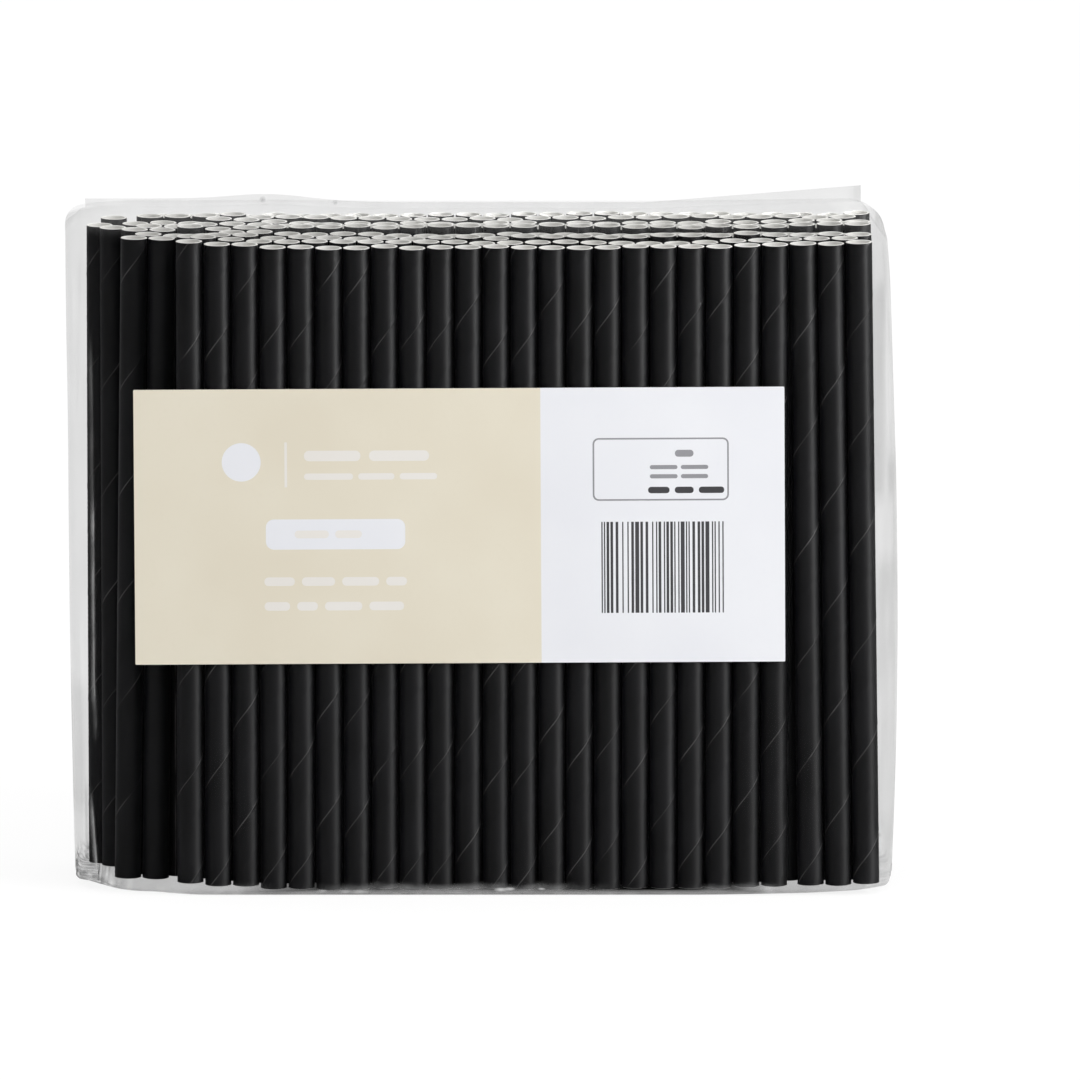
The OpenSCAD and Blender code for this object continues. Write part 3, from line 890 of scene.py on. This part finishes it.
# The print, in the order it is laid down. A box is an ink, its left, low, right and high side and the radius of
# its corners. A disc is an ink, its middle and its radius. A row of words is an ink, its left and right end, its
# middle height, the height of its bars, and the shortest and longest bar. A row of stripes is an ink, its left,
# right, low and high side, and the width of its thinnest stripe.
PRINT = [
    ("box", CREAM, 0, 0, SPLIT_X, LABEL_H, 0),
    ("disc", WHITE, 23.1, 44.1, 4.2),
    ("box", PALE, 32.4, 38.6, 32.95, 48.4, 0),
    ("words", PALE, 36.6, 68.8, 45.4, 2.3, 9, 16),
    ("words", PALE, 36.6, 68.8, 40.9, 1.4, 5, 11),
    ("box", WHITE, 28.3, 25.0, 58.3, 31.6, 1.7),
    ("words", PALE, 34.5, 52, 28.3, 1.7, 5, 9),
    ("words", PALE, 27.9, 59, 18.0, 1.9, 4, 9),
    ("words", PALE, 27.9, 59, 12.6, 1.9, 4, 9),
    ("box", GREY, 98.7, 35.3, 128, 49, 1.3),
    ("box", WHITE, 99.05, 35.65, 127.65, 48.65, 1.0),
    ("words", GREY, 116.4, 120.6, 45.6, 1.5, 4, 4.2),
    ("words", GREY, 111, 126.6, 42.6, 0.9, 3, 6),
    ("words", GREY, 111, 126.6, 40.6, 0.9, 4, 7),
    ("words", DARK, 110.6, 127, 37.6, 1.4, 4, 8),
    ("stripes", DARK, 100.5, 127, 10.8, 30.7, 0.28),
]
PRINT_SEED = 11
# The label is also cut along these lines, so that its front can wave.
CUTS_X, CUTS_Z = range(10, 131, 10), (15, 30, 45)


def label_print():
    """Everything printed on the label, in the order it is laid down, as pairs of an ink and an outline."""
    rng = random.Random(PRINT_SEED)
    outlines = {
        "box": lambda *sides: [rounded_box(*sides)],
        "disc": lambda *sizes: [disc(*sizes)],
        "words": lambda x0, x1, z, height, *lengths: word_bars(x0, x1, z, height, rng, *lengths),
        "stripes": lambda *sides: stripe_bars(*sides, rng),
    }
    return [(ink, outline) for kind, ink, *sizes in PRINT for outline in outlines[kind](*sizes)]


def build_label():
    """The label as a thin solid. Its front is cut along every printed outline, so each ink has its own faces."""
    shapes = label_print()
    points, edges = [], []

    def loop(outline):
        start = len(points)
        points.extend(Vector(p) for p in outline)
        n = len(outline)
        edges.extend((start + k, start + (k + 1) % n) for k in range(n))

    border = rounded_box(0, 0, LABEL_W, LABEL_H, LABEL_CORNER, 4)
    loop(border)
    for _, outline in shapes[1:]:
        loop(outline)
    for x in [SPLIT_X, *CUTS_X]:
        points.extend([Vector((x, 0)), Vector((x, LABEL_H))])
        edges.append((len(points) - 2, len(points) - 1))
    for z in CUTS_Z:
        points.extend([Vector((0, z)), Vector((LABEL_W, z))])
        edges.append((len(points) - 2, len(points) - 1))
    flat, _, triangles, *_ = delaunay_2d_cdt(points, edges, [], 1, 1e-5)
    low, high = (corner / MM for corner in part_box("label"))
    centre_x, centre_z = (low.x + high.x) / 2, (low.z + high.z) / 2
    front_y, back_y = low.y + LABEL_BACK_OFF, high.y

    def place(p, y):
        u, w = p.x - LABEL_W / 2, p.y - LABEL_H / 2
        x = centre_x + u * math.cos(LABEL_SLANT) - w * math.sin(LABEL_SLANT)
        z = centre_z + u * math.sin(LABEL_SLANT) + w * math.cos(LABEL_SLANT)
        across, up = LABEL_WAVE_RUNS
        wave = LABEL_WAVE * (1 + math.sin(u / across + w / up)) if y == front_y else 0
        return x, y + wave, z

    vertices = [place(p, front_y) for p in flat] + [place(p, back_y) for p in flat]
    faces, slots, rim = [], [], {}
    for tri in triangles:
        cx = sum(flat[v].x for v in tri) / 3
        cz = sum(flat[v].y for v in tri) / 3
        if not inside_outline(cx, cz, border):
            continue
        ink = WHITE
        for colour, outline in shapes:
            if inside_outline(cx, cz, outline):
                ink = colour
        (ax, az), (bx, bz), (dx, dz) = (flat[v] for v in tri)
        turned = (bx - ax) * (dz - az) - (bz - az) * (dx - ax) < 0
        tri = tuple(reversed(tri)) if turned else tuple(tri)
        faces.append(tri)
        slots.append(ink)
        faces.append(tuple(v + len(flat) for v in reversed(tri)))
        slots.append(WHITE)
        for a, b in zip(tri, tri[1:] + tri[:1]):
            if rim.pop((b, a), None) is None:
                rim[(a, b)] = True
    for a, b in rim:
        faces.append((b, a, a + len(flat), b + len(flat)))
        slots.append(WHITE)
    materials = [paper(name, srgb(*tone), srgb(*shade), INK_FIBRE, INK_ROUGHNESS) for name, tone, shade in INKS]
    piece = make_piece("label_sheet", vertices, faces, materials, slots)
    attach(piece, "root")
    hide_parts("label")
    return piece


# Stage

# The floor: its half size in metres, how far it lies under the film's base in millimetres, so that the two don't
# share a plane, how pale it is to the rays that light the object and to those in view, and its glow in view.
FLOOR_HALF, FLOOR_DROP = 3, 0.03
FLOOR_LIT, FLOOR_SEEN, FLOOR_GLOW = 0.35, 0.14, 0.85
# A painted shadow under the bundle, where no light comes: where the floor's glow ends at the left, the right, and
# the front and back, in metres.
UNDER_LEFT, UNDER_RIGHT, UNDER_DEPTH = (-0.052, -0.034), (0.054, 0.062), (0.0165, 0.0205)
# The room's light at eye level and from straight above.
ROOM_LEVEL, ROOM_TOP = 0.4, 1.5
# Lamps: name, azimuth, elevation, distance, width and height in metres, and power. They point at LAMP_AIM.
KEY_LAMP = ("key_right", 64, 22, 0.95, 0.24, 0.5, 7)
GLOSS_LAMP = ("gloss_right", 64, 9, 1.3, 0.5, 0.42, 24)
BACK_LAMP = ("gloss_behind", 244, 9, 1.3, 0.5, 0.42, 40)
LAMP_AIM = (0, 0, 0.075)
CLIP_NEAR, CLIP_FAR = 0.1, 50


def view_rays(tree):
    """1 for rays from the camera and through clear things, and 0 for those that light the object."""
    path = add(tree, "ShaderNodeLightPath")
    return math_node(tree, "MAXIMUM", path.outputs["Is Camera Ray"], path.outputs["Is Transmission Ray"])


def build_floor():
    """A plain floor. It is pale grey to the light that it sends back to the object, and in view it is white with
    a faint shadow, and with a painted shadow under the bundle where its glow is cut out."""
    mesh = bpy.data.meshes.new("floor")
    low, high = -FLOOR_HALF, FLOOR_HALF
    corners = [(x, y, -FLOOR_DROP * MM) for x, y in ((low, low), (high, low), (high, high), (low, high))]
    mesh.from_pydata(corners, [], [(0, 1, 2, 3)])
    floor = bpy.data.objects.new("floor", mesh)
    bpy.context.scene.collection.objects.link(floor)
    material = new_material("floor_white")
    tree = material.node_tree
    seen = view_rays(tree)
    colour = mix_colour(tree, seen, (*[FLOOR_LIT] * 3, 1), (*[FLOOR_SEEN] * 3, 1))
    matt = add(tree, "ShaderNodeBsdfDiffuse", None, Color=colour).outputs[0]
    split = add(tree, "ShaderNodeSeparateXYZ", None, Vector=add(tree, "ShaderNodeTexCoord").outputs["Object"])
    # A painted shadow: the glow is cut out under the bundle.
    left = ramp(tree, split.outputs[0], *UNDER_LEFT, 1, 0)
    right = ramp(tree, split.outputs[0], *UNDER_RIGHT)
    across = ramp(tree, math_node(tree, "ABSOLUTE", split.outputs[1]), *UNDER_DEPTH)
    outside_painted_shadow = math_node(tree, "MAXIMUM", math_node(tree, "MAXIMUM", left, right), across)
    strength = math_node(tree, "MULTIPLY", outside_painted_shadow, FLOOR_GLOW)
    strength = math_node(tree, "MULTIPLY", seen, strength)
    glow = add(tree, "ShaderNodeEmission", None, Strength=strength).outputs[0]
    finish_material(tree, add(tree, "ShaderNodeAddShader", None, _0=matt, _1=glow).outputs[0])
    mesh.materials.append(material)


def build_world():
    """Light that comes mostly from above. The camera sees plain white."""
    world = bpy.data.worlds.new("studio")
    world.use_nodes = True
    tree = world.node_tree
    tree.nodes.clear()
    direction = add(tree, "ShaderNodeTexCoord").outputs["Generated"]
    height = add(tree, "ShaderNodeSeparateXYZ", None, Vector=direction).outputs[2]
    light = ramp(tree, height, 0, 1, ROOM_LEVEL, ROOM_TOP)
    strength = math_node(tree, "MAXIMUM", light, view_rays(tree))
    sky = add(tree, "ShaderNodeBackground", None, Color=(1, 1, 1, 1), Strength=strength).outputs[0]
    add(tree, "ShaderNodeOutputWorld", None, Surface=sky)
    bpy.context.scene.world = world


def softbox(name, azimuth, elevation, distance, width, height, power):
    """A rectangular lamp round the pack: azimuth 0 is the camera's side and 90 is the right."""
    light = bpy.data.lights.new(name, "AREA")
    light.shape = "RECTANGLE"
    light.size, light.size_y = width, height
    light.energy = power
    lamp = bpy.data.objects.new(name, light)
    a, e = math.radians(azimuth), math.radians(elevation)
    away = Vector((math.sin(a) * math.cos(e), -math.cos(a) * math.cos(e), math.sin(e)))
    lamp.location = Vector(LAMP_AIM) + away * distance
    lamp.rotation_euler = away.to_track_quat("Z", "Y").to_euler()
    bpy.context.scene.collection.objects.link(lamp)
    return lamp


def build_lights():
    """A key lamp, and two lamps that give gloss only. The one behind is for the back row alone, so the film's
    corners don't mirror it in front."""
    softbox(*KEY_LAMP)
    gloss, back_gloss = softbox(*GLOSS_LAMP), softbox(*BACK_LAMP)
    gloss.visible_diffuse = back_gloss.visible_diffuse = False
    back_row = bpy.data.collections.new("back_row")
    for piece in sorted(bpy.data.objects, key=lambda p: p.name):
        if piece.name.startswith("straw_back") and piece.name.endswith("_paper"):
            back_row.objects.link(piece)
    back_gloss.light_linking.receiver_collection = back_row


def build_camera():
    """A long lens straight in front and a little above, with the pack where the photograph has it."""
    camera = bpy.data.cameras.new("camera")
    camera.sensor_width = SENSOR_MM
    width = FRAME_PX / PX_PER_MM * MM
    camera.lens = SENSOR_MM * CAMERA_DISTANCE / width
    camera.clip_start, camera.clip_end = CLIP_NEAR, CLIP_FAR
    rig = bpy.data.objects.new("camera", camera)
    back = Vector((0, -math.cos(CAMERA_ELEVATION), math.sin(CAMERA_ELEVATION)))
    rig.location = Vector(AIM_MM) * MM + back * CAMERA_DISTANCE
    rig.rotation_euler = back.to_track_quat("Z", "Y").to_euler()
    bpy.context.scene.collection.objects.link(rig)
    bpy.context.scene.camera = rig


build_camera()
all_straws()
build_film()
build_label()
build_floor()
build_world()
build_lights()
bpy.context.scene.view_settings.view_transform = "Standard"
bpy.context.scene.cycles.transparent_max_bounces = 24
bpy.context.scene.cycles.max_bounces = 6
bpy.context.scene.cycles.diffuse_bounces = 3
bpy.context.scene.cycles.glossy_bounces = 2

bpy.context.view_layer.update()
